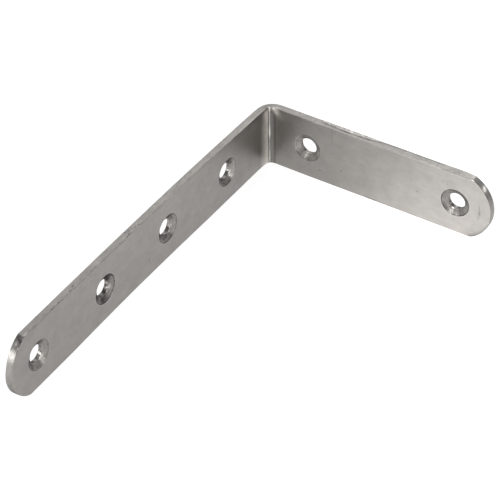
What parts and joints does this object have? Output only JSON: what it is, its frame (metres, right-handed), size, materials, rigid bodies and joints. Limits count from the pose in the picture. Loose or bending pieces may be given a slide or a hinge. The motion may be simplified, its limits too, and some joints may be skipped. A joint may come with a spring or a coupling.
{
  "type": "l-shaped shelf bracket",
  "caption": "Flat steel strip folded once to a right angle, with unequal arms, rounded ends and screw holes countersunk from the inside of the angle.",
  "frame": {"origin": "outer corner of the angle at its lower edge: where the planes of the two outer faces meet the surface that the bracket stands on", "axes": "+X along the long arm, +Y along the short arm, +Z across the strip's width; the inner, countersunk faces look along +Y and +X"},
  "size_m": [0.125, 0.075, 0.02],
  "materials": {
    "steel": "satin"
  },
  "bodies": {
    "root": {"bracket": "steel"}
  },
  "joints": []
}
